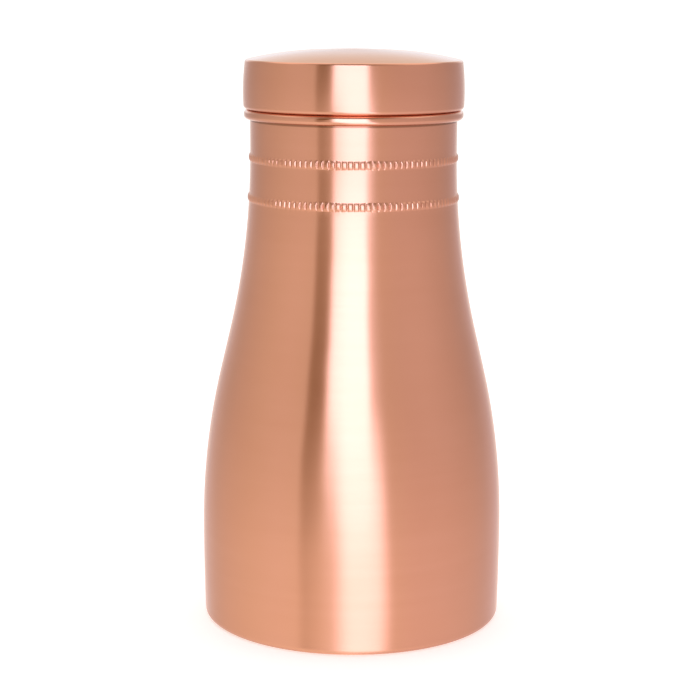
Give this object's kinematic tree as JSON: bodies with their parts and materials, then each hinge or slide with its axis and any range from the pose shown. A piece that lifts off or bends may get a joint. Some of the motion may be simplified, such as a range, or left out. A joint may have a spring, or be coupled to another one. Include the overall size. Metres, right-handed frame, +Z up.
{
  "type": "copper bedside water bottle",
  "caption": "Wide-necked copper water bottle with a rolled rim, milled bands round the neck and a domed slip-in lid on a drinking cup.",
  "frame": {"origin": "on the bottle's axis, in the plane it stands on", "axes": "+Z up along the bottle's axis, +X and +Y any two directions across it"},
  "size_m": [0.1094, 0.1094, 0.2067],
  "materials": {
    "bottle_copper": "satin copper, fine lines round the axis, lacquered",
    "base_copper": "satin copper, a little duller than the wall",
    "lid_copper": "satin copper, fine lines round the axis, lacquered",
    "cup_copper": "bare satin copper"
  },
  "bodies": {
    "bottle": {"body_shell": "bottle_copper", "base_disc": "base_copper"},
    "lid": {"lid_cap": "lid_copper", "lid_cup": "cup_copper"}
  },
  "joints": [
    {"name": "lid_lift", "type": "slide", "parent": "bottle", "child": "lid", "axis": [0, 0, 1], "range_m": [0, 0.06]}
  ]
}
